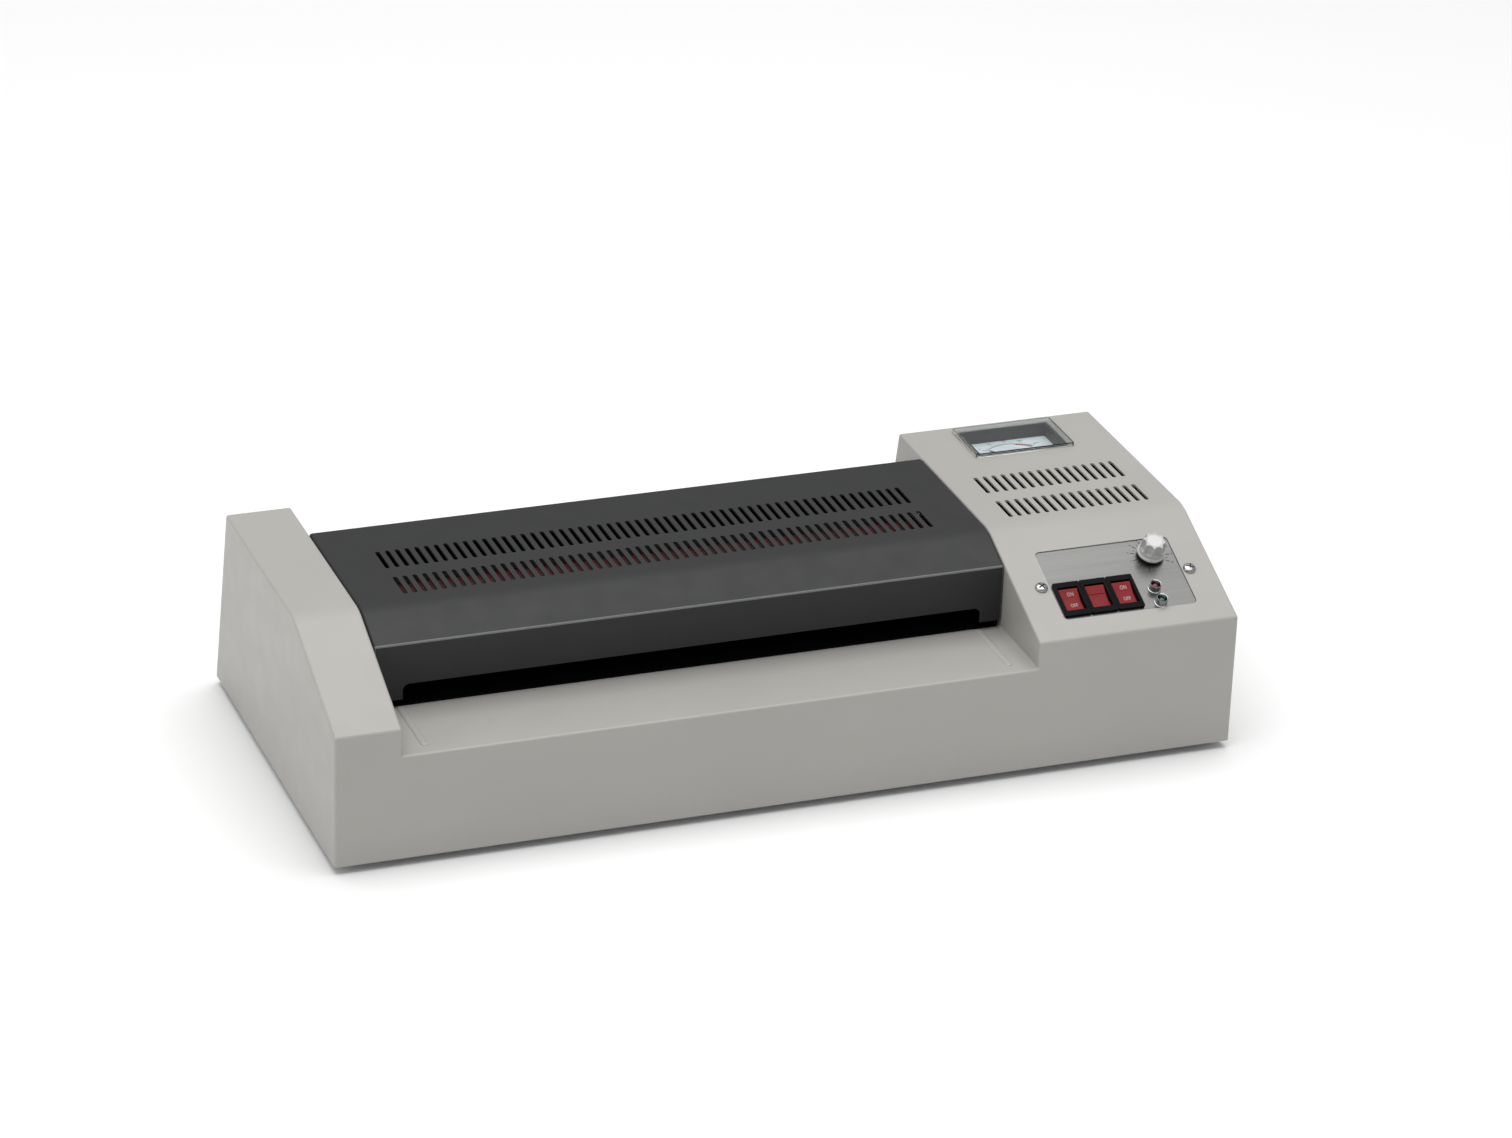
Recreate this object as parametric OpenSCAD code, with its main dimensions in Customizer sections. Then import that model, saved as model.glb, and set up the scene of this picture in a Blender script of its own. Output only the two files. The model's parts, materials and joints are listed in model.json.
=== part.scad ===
// Pouch laminator with four driven rollers, heating shoes, pressure springs and a control panel.
// x runs to the right, y to the rear and z up; the origin is on the ground under the middle.

/* [Body] */
// Width over both end blocks
body_w = 525; // [515:1:540]
// Depth at the bottom
body_d = 240; // [238:1:244]
// Height of the end blocks above the bottom edge
body_h = 111.5; // [110:0.5:114]
// Height of the front wall of the end blocks
front_h = 77.5; // [76:0.5:79]
// Depth of the sloping part of the end blocks
slope_run = 80.5; // [79:0.5:82]
// Distance from the front wall to the rear edge of the roof
roof_rear = 216; // [214:1:218]
// Width of the left block
left_block_w = 37.5; // [36.5:0.5:38.5]
// Width of the right block
right_block_w = 120.5; // [120:0.5:121.5]
// Height of the feed tray between the blocks
deck_h = 61.5; // [61:0.1:62]
// Thickness of the housing sheet
sheet_t = 1.2; // [1:0.1:1.4]
// Height of the rubber feet
foot_h = 5; // [4:0.5:8]

/* [Cover] */
// Distance from the front wall to the cover's front face
cover_front = 54; // [52:0.5:55]
// Distance from the front wall to the rear edge of the cover's roof
cover_rear = 180; // [179:0.5:182]
// Height of the cover's lower edge
cover_leg_z = 67; // [66.8:0.1:68]
// Height of the feed slot's upper edge
slot_top_z = 76; // [75.8:0.1:77]

/* [Vents] */
// Number of slots in each row of the cover
cover_vents = 56; // [40:1:58]
// Number of slots in each row of the right block
block_vents = 16; // [10:1:16]
// Distance from slot to slot
vent_pitch = 5.6; // [5:0.05:5.65]
// Width of a slot
vent_w = 2.4; // [1.8:0.1:2.6]

/* [Rollers] */
// Height of the pouch path
nip_z = 66.5; // [66.3:0.1:66.8]
// Radius of the silicone sleeves
roller_r = 14.85; // [14.6:0.05:14.9]
// Distance from the front wall to the heated pair
front_pair_y = 129; // [128.5:0.1:129.2]
// Distance from the front wall to the pulling pair
rear_pair_y = 164; // [163.8:0.1:164.4]

/* [Hidden] */
$fn = 48;
lap = 0.5;
air = 0.3;
slope_angle = atan((body_h - front_h) / slope_run);
rear_angle = atan((body_d - roof_rear) / body_h);
right_x = body_w - right_block_w;
base_t = 1.5;
cover_gap = 0.3;
slot_x0 = left_block_w + 16.5;
slot_x1 = right_x - 13.5;
row_y = [91, 124.3];
row_len = 21.8;
rib_x = [slot_x0 - 1, slot_x1];

// Frames, rollers and gears
frame_t = 2;
frame_x = [28, right_x + 6.5];
frame_y0 = 78;
frame_y1 = 186;
frame_top = 104;
pair_y = [front_pair_y, rear_pair_y];
bay_y = [frame_y0 - 4, rear_pair_y + 13.5];
axis_gap = 15;
upper_z = nip_z + axis_gap;
lower_z = nip_z - axis_gap;
sleeve_x0 = 54;
sleeve_x1 = right_x - 18;
core_r = 11;
journal_r = 5;
run = 0.05;
block_w = 24;
block_h = 16;
block_t = 5;
guide_w = 19.2;
spring_z0 = upper_z + block_h / 2;
spring_z1 = frame_top - frame_t;
gear_module = 1.25;
gear_w = 8;
gear_x = right_x + 12.5;
roller_teeth = 24;
idler_teeth = 16;
pinion_teeth = 12;
roller_pitch_r = gear_module * roller_teeth / 2;
idler_pitch_r = gear_module * idler_teeth / 2;
pinion_pitch_r = gear_module * pinion_teeth / 2;
idler_y = (front_pair_y + rear_pair_y) / 2;
idler_arm = idler_y - front_pair_y;
idler_drop = sqrt(pow(roller_pitch_r + idler_pitch_r, 2) - idler_arm * idler_arm);
idler_z = lower_z - idler_drop;
pinion_side = 225;
pinion_y = front_pair_y + (roller_pitch_r + pinion_pitch_r) * cos(pinion_side);
pinion_z = lower_z + (roller_pitch_r + pinion_pitch_r) * sin(pinion_side);
motor_r = 26;
motor_x = right_x + 29.5;
motor_len = 50;
rods = [[84, 20], [182, 20], [84, 96]];

// Control panel, measured along the slope from the front edge
window_x = body_w - 100.5;
window_s = 14.1;
window_w = 81;
window_h = 51.3;
switch_s = 28.3;
switch_x = [for (i = [0:2]) window_x + 9.4 + 16.1 * i];
bezel_w = 15.9;
bezel_h = 24.4;
rocker_w = 11.5;
rocker_half = 7.9;
rocker_play = 0.6;
rocker_tilt = 7;
pivot_drop = 3.3;
panel_top = -sheet_t;
panel_low = -2 * sheet_t;
knob_x = window_x + 66.7;
knob_s = 53;
lamp_x = window_x + 59.7;
lamp_s = [28.3, 17.7];
screw_s = 39.2;
screw_x = [window_x - 5, window_x + 85.4];

// Meter in the roof of the right block
meter_x = window_x + 10.5;
meter_y = 171;
meter_w = 61.5;
meter_d = 38;
lens_h = 2.6;
dial_drop = 8;
meter_depth = 23;
pivot_y = 8 - meter_d / 2;

// Sockets in the rear wall, measured up the wall
inlet_x = right_x + 66;
fuse_x = right_x + 30;
socket_s = 32;

// Geometry helpers
function unit(v) = v / norm(v);
function right_of(v) = [v[1], -v[0]];
function meet(p, d, q, e) = p + d * cross(q - p, e) / cross(d, e);
// Moves every edge of a clockwise outline inwards by t
function inset(pts, t) = let (n = len(pts)) [for (i = [0:n - 1])
    let (a = pts[(i + n - 1) % n], b = pts[i], c = pts[(i + 1) % n], d = unit(b - a), e = unit(c - b))
    meet(a + t * right_of(d), d, b + t * right_of(e), e)];
function rear_y(z) = body_d - z * tan(rear_angle);
function slope_z(y) = front_h + y * tan(slope_angle);
function cover_rear_y(z) = cover_rear + (body_h - z) * tan(rear_angle);
// Side outlines (y, z), open downwards to z0
function block_outline(z0) = [[0, z0], [0, front_h], [slope_run, body_h], [roof_rear, body_h],
    [rear_y(z0), z0]];
function cover_outline(z0) = [[cover_front, z0], [cover_front, slope_z(cover_front)],
    [slope_run, body_h], [cover_rear, body_h], [cover_rear_y(z0), z0]];

// x from the left end, y from the front wall, z from the bottom edge of the housing
module placed() {
    translate([-body_w / 2, -body_d / 2, foot_h]) children();
}

// Extrudes a (y, z) outline along x
module along_x(x0, x1) {
    translate([x0, 0, 0]) rotate([90, 0, 90]) linear_extrude(x1 - x0) children();
}

// Extrudes an (x, z) outline along y
module along_y(y0, y1) {
    translate([0, y1, 0]) rotate([90, 0, 0]) linear_extrude(y1 - y0) children();
}

// Frame on the slope of the right block: y up the slope, z out of the sheet
module on_slope(x, s) {
    translate([x, 0, front_h]) rotate([slope_angle, 0, 0]) translate([0, s, 0]) children();
}

// Frame on the leaning rear wall: y up the wall, z out of the sheet
module on_rear(x, s) {
    translate([x, body_d, 0]) rotate([90 - rear_angle, 0, 180]) translate([0, s, 0]) children();
}

module rod_x(x0, x1, y, z, r) {
    translate([x0, y, z]) rotate([0, 90, 0]) cylinder(h = x1 - x0, r = r);
}

module rounded_rect(w, h, r) {
    translate([r, 0]) square([w - 2 * r, h]);
    translate([0, r]) square([w, h - 2 * r]);
    for (x = [r, w - r], y = [r, h - r]) translate([x, y]) circle(r, $fn = 24);
}

module box(w, d, z0, z1) {
    translate([-w / 2, -d / 2, z0]) cube([w, d, z1 - z0]);
}

// Pan head with a domed top and a cross recess, its shank pointing down
module cross_screw(head_r, head_h, shank_r, shank_len) {
    difference() {
        rotate_extrude($fn = 32) polygon(concat([[0, 0], [head_r, 0]],
            [for (a = [0:15:90]) [head_r * cos(a), head_h * (0.3 + 0.7 * sin(a))]]));
        for (a = [0, 90]) rotate([0, 0, a]) box(head_r * 1.1, head_r * 0.28, head_h * 0.45, head_h * 2);
    }
    translate([0, 0, -shank_len]) cylinder(h = shank_len + 0.1, r = shank_r, $fn = 24);
}

// Main housing
module vent_rows(x0, count) {
    for (y = row_y, i = [0:count - 1]) translate([x0 + i * vent_pitch - vent_w / 2, y])
        rounded_rect(vent_w, row_len, vent_w / 2 - 0.02);
}

module tray_rib(x) {
    rib_r = 2;
    rib_y0 = 11;
    rib_y1 = cover_front;
    intersection() {
        translate([x, 0, deck_h - rib_r + 0.7]) {
            translate([0, rib_y0, 0]) rotate([-90, 0, 0]) cylinder(h = rib_y1 - rib_y0, r = rib_r);
            for (y = [rib_y0, rib_y1]) translate([0, y, 0]) sphere(rib_r);
        }
        translate([x - rib_r, 0, deck_h - sheet_t / 2]) cube([2 * rib_r, cover_front + 12, 3]);
    }
}

module bottom_flange() {
    flange_w = 14;
    wall = sheet_t / 2;
    outer_d = rear_y(base_t + sheet_t) - sheet_t;
    translate([wall, wall, base_t]) difference() {
        cube([body_w - 2 * wall, outer_d, sheet_t]);
        translate([flange_w, flange_w, -1])
            cube([body_w - 2 * (wall + flange_w), outer_d - 2 * flange_w, 4]);
    }
}

// The gap between the end blocks, above the tray
module valley(grow) {
    translate([left_block_w - grow, -1, deck_h - grow])
        cube([right_x - left_block_w + 2 * grow, body_d + 2, body_h]);
}

module housing_shell() {
    difference() {
        along_x(0, body_w) polygon(block_outline(0));
        valley(0);
        difference() {
            along_x(sheet_t, body_w - sheet_t) polygon(inset(block_outline(-5), sheet_t));
            valley(sheet_t);
        }
    }
}

base_screw_xy = [for (x = [9, body_w / 2, body_w - 9], y = [8, 230]) [x, y]];
cover_screw_yz = [[63, 88], [177, 88]];

module main_housing() {
    color([0.72, 0.71, 0.68]) placed() difference() {
        union() {
            housing_shell();
            for (x = rib_x) tray_rib(x);
            bottom_flange();
        }
        // Bay through the tray and the blocks' inner walls for the roller unit
        translate([left_block_w - 2 * sheet_t, bay_y[0], deck_h - 2 * sheet_t])
            cube([right_x - left_block_w + 4 * sheet_t, bay_y[1] - bay_y[0], frame_top - deck_h]);
        translate([0, 0, body_h - 2 * sheet_t]) linear_extrude(3 * sheet_t)
            vent_rows(right_x + 19, block_vents);
        on_slope(window_x, window_s) translate([0, 0, -2 * sheet_t]) linear_extrude(3 * sheet_t)
            rounded_rect(window_w, window_h, 3);
        for (x = screw_x) on_slope(x, screw_s) translate([0, 0, -3]) cylinder(h = 6, r = 2.1);
        translate([meter_x + 2.5, meter_y + 2.5, body_h - 3]) cube([meter_w - 5, meter_d - 5, 6]);
        on_rear(inlet_x, socket_s) box(27.6, 20, -3, 3);
        for (x = [-20, 20]) on_rear(inlet_x + x, socket_s) translate([0, 0, -3]) cylinder(h = 6, r = 1.6);
        on_rear(fuse_x, socket_s) translate([0, 0, -3]) cylinder(h = 6, r = 6.1);
        for (p = base_screw_xy) translate([p[0], p[1], 0]) cylinder(h = 4, r = 1.6);
        for (p = cover_screw_yz) {
            rod_x(left_block_w - 3, left_block_w + 1, p[0], p[1], 1.6);
            rod_x(right_x - 1, right_x + 3, p[0], p[1], 1.6);
        }
    }
}

// Centre cover
module cover_end_tab(x0) {
    along_x(x0, x0 + sheet_t) difference() {
        polygon(cover_outline(80));
        translate([cover_front + 16, 0]) square([cover_rear - cover_front - 25, 200]);
        translate([0, 97]) square([300, 50]);
    }
}

module centre_cover() {
    x0 = left_block_w + cover_gap;
    x1 = right_x - cover_gap;
    color([0.29, 0.29, 0.29]) placed() difference() {
        union() {
            along_x(x0, x1) difference() {
                polygon(cover_outline(cover_leg_z));
                polygon(inset(cover_outline(cover_leg_z - 5), sheet_t));
            }
            cover_end_tab(x0);
            cover_end_tab(x1 - sheet_t);
        }
        for (y = [cover_front - 4, cover_rear - 4]) along_y(y, y + 16)
            translate([slot_x0, 40]) rounded_rect(slot_x1 - slot_x0, slot_top_z - 40, 4);
        translate([0, 0, body_h - 2 * sheet_t]) linear_extrude(3 * sheet_t)
            vent_rows(left_block_w + 29.3, cover_vents);
        for (p = cover_screw_yz) rod_x(left_block_w - 3, right_x + 3, p[0], p[1], 1.3);
    }
}

module cover_screws() {
    color([0.75, 0.75, 0.76]) placed() for (p = cover_screw_yz) {
        translate([left_block_w - sheet_t, p[0], p[1]]) rotate([0, -90, 0]) cross_screw(2.8, 2, 1.25, 4);
        translate([right_x + sheet_t, p[0], p[1]]) rotate([0, 90, 0]) cross_screw(2.8, 2, 1.25, 4);
    }
}

// Base
foot_xy = [for (x = [37.5, body_w - 37.5], y = [32, body_d - 32]) [x, y]];

module base_plate() {
    edge = sheet_t + air;
    color([0.55, 0.55, 0.55]) placed() difference() {
        translate([edge, edge, 0]) cube([body_w - 2 * edge, rear_y(base_t) - sheet_t - 2 * edge, base_t]);
        for (p = foot_xy) translate([p[0], p[1], -1]) cylinder(h = 4, r = 2.1);
        for (p = base_screw_xy) translate([p[0], p[1], -1]) cylinder(h = 4, r = 1.6);
        for (x = [70:24:390], y = [40, 90, 150]) translate([x, y, -1]) linear_extrude(4)
            rounded_rect(5, 34, 2.4);
    }
}

module rubber_feet() {
    color([0.07, 0.07, 0.07]) placed() for (p = foot_xy) translate([p[0], p[1], -foot_h]) difference() {
        cylinder(h = foot_h, r1 = 7, r2 = 8);
        translate([0, 0, -1]) cylinder(h = 3.5, r = 4.2);
        cylinder(h = foot_h + 1, r = 2.1);
    }
}

module base_screws() {
    color([0.6, 0.6, 0.62]) placed() {
        for (p = foot_xy) {
            translate([p[0], p[1], -foot_h + 2.5]) rotate([180, 0, 0]) cross_screw(3.6, 1.8, 2, 7);
            translate([p[0], p[1], base_t]) difference() {
                cylinder(h = 3, r = 4, $fn = 6);
                translate([0, 0, -1]) cylinder(h = 5, r = 2, $fn = 24);
            }
        }
        for (p = base_screw_xy) translate([p[0], p[1], 0]) rotate([180, 0, 0])
            cross_screw(2.8, 1.6, 1.5, 5);
    }
}

// Control panel
module control_panel() {
    color([0.66, 0.66, 0.65]) placed() on_slope(window_x, 0) difference() {
        translate([-11.5, 9, panel_low]) cube([window_w + 22.5, 61, sheet_t]);
        for (x = switch_x) translate([x - window_x, switch_s, 0]) box(13.8, 21.9, -5, 0);
        for (s = lamp_s) translate([lamp_x - window_x, s, -5]) cylinder(h = 5, r = 2.6);
        translate([knob_x - window_x, knob_s, -5]) cylinder(h = 5, r = 3.6);
        for (x = screw_x) translate([x - window_x, screw_s, -5]) cylinder(h = 5, r = 2.1);
    }
}

module panel_screws() {
    color([0.85, 0.85, 0.86]) placed() for (x = screw_x) on_slope(x, screw_s) {
        cross_screw(3.65, 2.3, 2, 9);
        translate([0, 0, panel_low - 2.4]) difference() {
            cylinder(h = 2.4, r = 4, $fn = 6);
            translate([0, 0, -1]) cylinder(h = 5, r = 2, $fn = 24);
        }
    }
}

module switch_housing() {
    difference() {
        union() {
            translate([-bezel_w / 2, -bezel_h / 2, panel_top]) linear_extrude(sheet_t + 1)
                rounded_rect(bezel_w, bezel_h, 1);
            box(13.4, 21.5, -20, panel_top + lap);
        }
        box(rocker_w + 0.5, 2 * (rocker_half + rocker_play), -11, 5);
        rod_x(-8, 8, 0, -pivot_drop, 1 + 0.06);
    }
    for (y = [-6, 0, 6]) translate([0, y, 0]) box(4.8, 0.8, -28, -19.5);
}

module switch_housings() {
    color([0.06, 0.06, 0.07]) placed() for (x = switch_x) on_slope(x, switch_s) switch_housing();
}

// Concave rocker on two stub pins; it rests with its lower end pressed in
module rocker(i) {
    side = [[0, 2], [rocker_half, 3], [rocker_half, 1], [6, -2.4], [0, -4.6], [-6, -2.4],
        [-rocker_half, 1], [-rocker_half, 3]];
    color([0.70, 0.13, 0.16]) placed() on_slope(switch_x[i], switch_s) translate([0, 0, -pivot_drop])
        rotate([rocker_tilt, 0, 0]) {
            along_x(-rocker_w / 2, rocker_w / 2) polygon(side);
            rod_x(-6.4, 6.4, 0, 0, 1);
        }
}

module left_rocker() {
    rocker(0);
}

module middle_rocker() {
    rocker(1);
}

module right_rocker() {
    rocker(2);
}

module indicator_bezels() {
    color([0.8, 0.8, 0.82]) placed() for (s = lamp_s) on_slope(lamp_x, s) difference() {
        union() {
            translate([0, 0, panel_top]) cylinder(h = 5.4, r = 3);
            translate([0, 0, panel_low - 6]) cylinder(h = 8, r = 2.6);
            translate([0, 0, panel_low - 2]) cylinder(h = 2, r = 4.5, $fn = 6);
        }
        translate([0, 0, -12]) cylinder(h = 20, r = 2.1);
    }
}

module lamp(s) {
    placed() on_slope(lamp_x, s) {
        translate([0, 0, -7]) cylinder(h = 9, r = 2.1);
        translate([0, 0, 2]) sphere(2.1);
    }
}

module red_lens() {
    color([0.55, 0.03, 0.08]) lamp(lamp_s[0]);
}

module green_lens() {
    color([0.05, 0.40, 0.28]) lamp(lamp_s[1]);
}

module potentiometer() {
    color([0.5, 0.5, 0.52]) placed() on_slope(knob_x, knob_s) difference() {
        union() {
            translate([0, 0, panel_low - 10]) cylinder(h = 10, r = 8);
            translate([0, 0, panel_low - 1]) cylinder(h = 6.4, r = 3.5);
            translate([0, 0, panel_top]) cylinder(h = 2, r = 5.5, $fn = 6);
        }
        translate([0, 0, -10]) cylinder(h = 20, r = 3 + run);
    }
}

module potentiometer_shaft() {
    color([0.7, 0.7, 0.7]) placed() on_slope(knob_x, knob_s) translate([0, 0, -9]) cylinder(h = 18, r = 3);
}

module temperature_knob() {
    skirt_z = 1.5;
    top_z = 12;
    color([0.80, 0.80, 0.78]) placed() on_slope(knob_x, knob_s) difference() {
        rotate_extrude($fn = 64) polygon([[0, skirt_z], [8, skirt_z], [8, skirt_z + 1.4],
            [7.2, skirt_z + 2], [6.7, top_z - 0.8], [5.9, top_z], [0, top_z]]);
        for (a = [0:45:315]) rotate([0, 0, a]) translate([8, 0, skirt_z + 2.4]) cylinder(h = 15, r = 2.5);
        translate([0, 0, -10]) cylinder(h = 19, r = 3);
        translate([0, 0, -10]) cylinder(h = 10 + 3.2, r = 5.9);
    }
}

// Meter
module meter_placed() {
    placed() translate([meter_x + meter_w / 2, meter_y + meter_d / 2, 0]) children();
}

module meter_case() {
    case_w = meter_w - 5.6;
    case_d = meter_d - 5.6;
    floor_z = body_h - dial_drop;
    color([0.10, 0.10, 0.11]) meter_placed() {
        difference() {
            box(case_w, case_d, body_h - meter_depth, body_h);
            box(case_w - 2.4, case_d - 2.4, floor_z - 1, body_h + 1);
        }
        translate([0, pivot_y, floor_z - 2]) cylinder(h = 3.6, r = 0.9, $fn = 24);
    }
}

module meter_dial() {
    color([0.85, 0.90, 0.93]) meter_placed() difference() {
        box(meter_w - 8, meter_d - 8, body_h - dial_drop - 1, body_h - dial_drop);
        translate([0, pivot_y, 0]) cylinder(h = 200, r = 0.9, $fn = 24);
    }
}

module meter_lens() {
    color([0.8, 0.85, 0.85, 0.35]) meter_placed() difference() {
        box(meter_w, meter_d, body_h, body_h + lens_h);
        box(meter_w - 4, meter_d - 4, body_h - 1, body_h + lens_h - 1.2);
    }
}

// The needle rests 45 degrees left of straight back, over the low end of the scale
module meter_needle() {
    needle_z = body_h - dial_drop + 0.4;
    color([0.05, 0.05, 0.05]) meter_placed() translate([0, pivot_y, needle_z]) difference() {
        union() {
            cylinder(h = 1, r = 2, $fn = 32);
            rotate([0, 0, 45]) linear_extrude(0.5)
                polygon([[-0.5, -4], [0.5, -4], [0.15, 19], [-0.15, 19]]);
        }
        translate([0, 0, -1]) cylinder(h = 4, r = 0.96, $fn = 24);
    }
}

// Roller unit
module side_frame(x, side) {
    flange_x = side < 0 ? x - 10 : x;
    top_x = side < 0 ? x - 4 : x;
    difference() {
        union() {
            along_x(x, x + frame_t) translate([frame_y0, base_t])
                square([frame_y1 - frame_y0, frame_top - base_t]);
            translate([flange_x, frame_y0 + 4, base_t]) cube([12, frame_y1 - frame_y0 - 8, frame_t]);
            translate([top_x, frame_y0 + 30, spring_z1]) cube([6, frame_y1 - frame_y0 - 34, frame_t]);
        }
        for (y = pair_y) {
            translate([x - 1, y - guide_w / 2 - 0.2, upper_z - block_h / 2 - air])
                cube([frame_t + 2, guide_w + 0.4, spring_z1 - upper_z + block_h / 2 + air]);
            rod_x(x - 1, x + frame_t + 1, y, lower_z, 8);
        }
        for (p = rods) rod_x(x - 1, x + frame_t + 1, p[0], p[1], 2.1);
    }
}

module left_side_frame() {
    color([0.62, 0.63, 0.65]) placed() side_frame(frame_x[0], -1);
}

module right_side_frame() {
    color([0.62, 0.63, 0.65]) placed() difference() {
        side_frame(frame_x[1], 1);
        rod_x(frame_x[1] - 1, frame_x[1] + 3, idler_y, idler_z, 3);
        rod_x(frame_x[1] - 1, frame_x[1] + 3, pinion_y, pinion_z, pinion_pitch_r + 3);
    }
}

module tie_rods() {
    color([0.7, 0.7, 0.72]) placed() for (p = rods) difference() {
        rod_x(frame_x[0] + frame_t, frame_x[1], p[0], p[1], 4);
        rod_x(frame_x[0], frame_x[0] + 12, p[0], p[1], 2);
        rod_x(frame_x[1] - 10, frame_x[1] + 2, p[0], p[1], 2);
    }
}

module tie_rod_screws() {
    color([0.6, 0.6, 0.62]) placed() for (p = rods) {
        translate([frame_x[0], p[0], p[1]]) rotate([0, -90, 0]) cross_screw(3.6, 2.2, 2, 11);
        translate([frame_x[1] + frame_t, p[0], p[1]]) rotate([0, 90, 0]) cross_screw(3.6, 2.2, 2, 11);
    }
}

module entry_guide() {
    lower = [[57, deck_h], [57, deck_h + 0.8], [74.5, 65.2], [75.5, 65.2], [75.5, 63], [72, 61.8],
        [72, deck_h]];
    upper = [[57, 79.5], [57, 78], [74.5, 70], [75.5, 70], [75.5, 73], [60, 81]];
    color([0.05, 0.05, 0.05]) placed() {
        along_x(slot_x0 - 10, slot_x1 + 10) polygon(lower);
        along_x(slot_x0 - 10, slot_x1 + 10) polygon(upper);
        for (x = [slot_x0 - 12, slot_x1 + 10]) along_x(x, x + 2)
            polygon([[57, deck_h], [57, 79.5], [60, 81], [75.5, 73], [75.5, 63], [72, 61.8], [72, deck_h]]);
    }
}

module exit_guide() {
    front = bay_y[1] + 0.5;
    lower = [[front, deck_h], [front, 64], [front + 2, 64.8], [189, 62.8], [189, deck_h]];
    color([0.05, 0.05, 0.05]) placed() along_x(slot_x0, slot_x1) polygon(lower);
}

// Extruded heating shoes with two holes each for the heater tubes
shoe_tube_y = [86, 100];

module shoe(level) {
    side = [[76.5, -14], [76.5, -3.5], [79, -2], [111, -1.6], [112, -2], [112, -9], [107, -14]];
    along_x(frame_x[0] + frame_t, frame_x[1]) translate([0, nip_z]) difference() {
        polygon([for (p = side) [p[0], p[1] * level]]);
        for (y = shoe_tube_y) translate([y, -8.5 * level]) circle(4);
    }
}

module upper_heater_shoe() {
    color([0.7, 0.71, 0.72]) placed() shoe(-1);
}

module lower_heater_shoe() {
    color([0.7, 0.71, 0.72]) placed() shoe(1);
}

module heater_tubes() {
    color([0.85, 0.85, 0.8]) placed() for (y = shoe_tube_y, z = [nip_z - 8.5, nip_z + 8.5])
        rod_x(frame_x[0] + frame_t, frame_x[1], y, z, 4);
}

module heat_shield() {
    z0 = 87;
    color([0.75, 0.75, 0.76]) placed() along_x(frame_x[0] + frame_t, frame_x[1])
        polygon([[77, z0 - 4], [77, z0 + 1], [111, z0 + 1], [111, z0], [78, z0], [78, z0 - 4]]);
}

module thermostat() {
    color([0.8, 0.78, 0.7]) placed() translate([body_w / 2 - 40, 93, nip_z + 14]) {
        cylinder(h = 4.5, r = 7);
        box(22, 6, 0, 0.8);
    }
}

module lower_bearings() {
    color([0.72, 0.55, 0.25]) placed() for (x = frame_x, y = pair_y) difference() {
        union() {
            rod_x(x, x + frame_t, y, lower_z, 8);
            rod_x(x + frame_t, x + frame_t + 1.5, y, lower_z, 10);
            rod_x(x - 1.5, x, y, lower_z, 7.5);
        }
        rod_x(x - 3, x + 6, y, lower_z, journal_r + run);
    }
}

// Blocks that slide in the frame slots and carry the upper rollers
module bearing_blocks(y) {
    color([0.9, 0.88, 0.82]) placed() for (x = frame_x) difference() {
        translate([x + frame_t / 2 - block_t / 2, y - block_w / 2, upper_z - block_h / 2])
            cube([block_t, block_w, block_h]);
        for (side = [-1, 1]) translate([x - air, y + side * (guide_w + 10) / 2 - 5, 0])
            cube([frame_t + 2 * air, 10, 200]);
        rod_x(x - 5, x + 8, y, upper_z, journal_r + run);
    }
}

module front_bearing_blocks() {
    bearing_blocks(front_pair_y);
}

module rear_bearing_blocks() {
    bearing_blocks(rear_pair_y);
}

// Space taken by the two coil springs of one pair
module springs(y) {
    color([0.6, 0.6, 0.62]) placed() for (x = frame_x) translate([x + frame_t / 2, y, spring_z0])
        difference() {
            cylinder(h = spring_z1 - spring_z0, r = 5);
            translate([0, 0, -1]) cylinder(h = 30, r = 3.8);
        }
}

module front_springs() {
    springs(front_pair_y);
}

module rear_springs() {
    springs(rear_pair_y);
}

module roller_shaft(y, z) {
    color([0.72, 0.73, 0.75]) placed() {
        rod_x(frame_x[0] - 4, gear_x + gear_w + 3, y, z, journal_r);
        rod_x(sleeve_x0 - 4, sleeve_x1 + 4, y, z, core_r);
    }
}

module sleeve(y, z, shade) {
    color(shade) placed() difference() {
        rod_x(sleeve_x0, sleeve_x1, y, z, roller_r);
        rod_x(sleeve_x0 - 1, sleeve_x1 + 1, y, z, core_r);
    }
}

// Involute spur gears
function involute(base_r, r) = let (a = sqrt(pow(r / base_r, 2) - 1) * 180 / PI) a - atan(a * PI / 180);
// Half the angle that a tooth takes at radius r, thinned for backlash
function half_tooth(teeth, r) = let (pitch_r = gear_module * teeth / 2, base_r = pitch_r * cos(20))
    90 / teeth - 0.075 / pitch_r * 180 / PI + involute(base_r, pitch_r) - involute(base_r, max(r, base_r));

module gear_outline(teeth, phase) {
    pitch_r = gear_module * teeth / 2;
    root_r = pitch_r - 1.3;
    radii = [root_r, max(root_r, pitch_r * cos(20)) + 0.05, pitch_r - 0.3, pitch_r + 0.4, pitch_r + 1];
    polygon([for (i = [0:teeth - 1], side = [-1, 1], k = [0:len(radii) - 1])
        let (r = radii[side < 0 ? k : len(radii) - 1 - k])
        let (a = phase + i * 360 / teeth + side * half_tooth(teeth, r))
        [r * cos(a), r * sin(a)]]);
}

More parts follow.
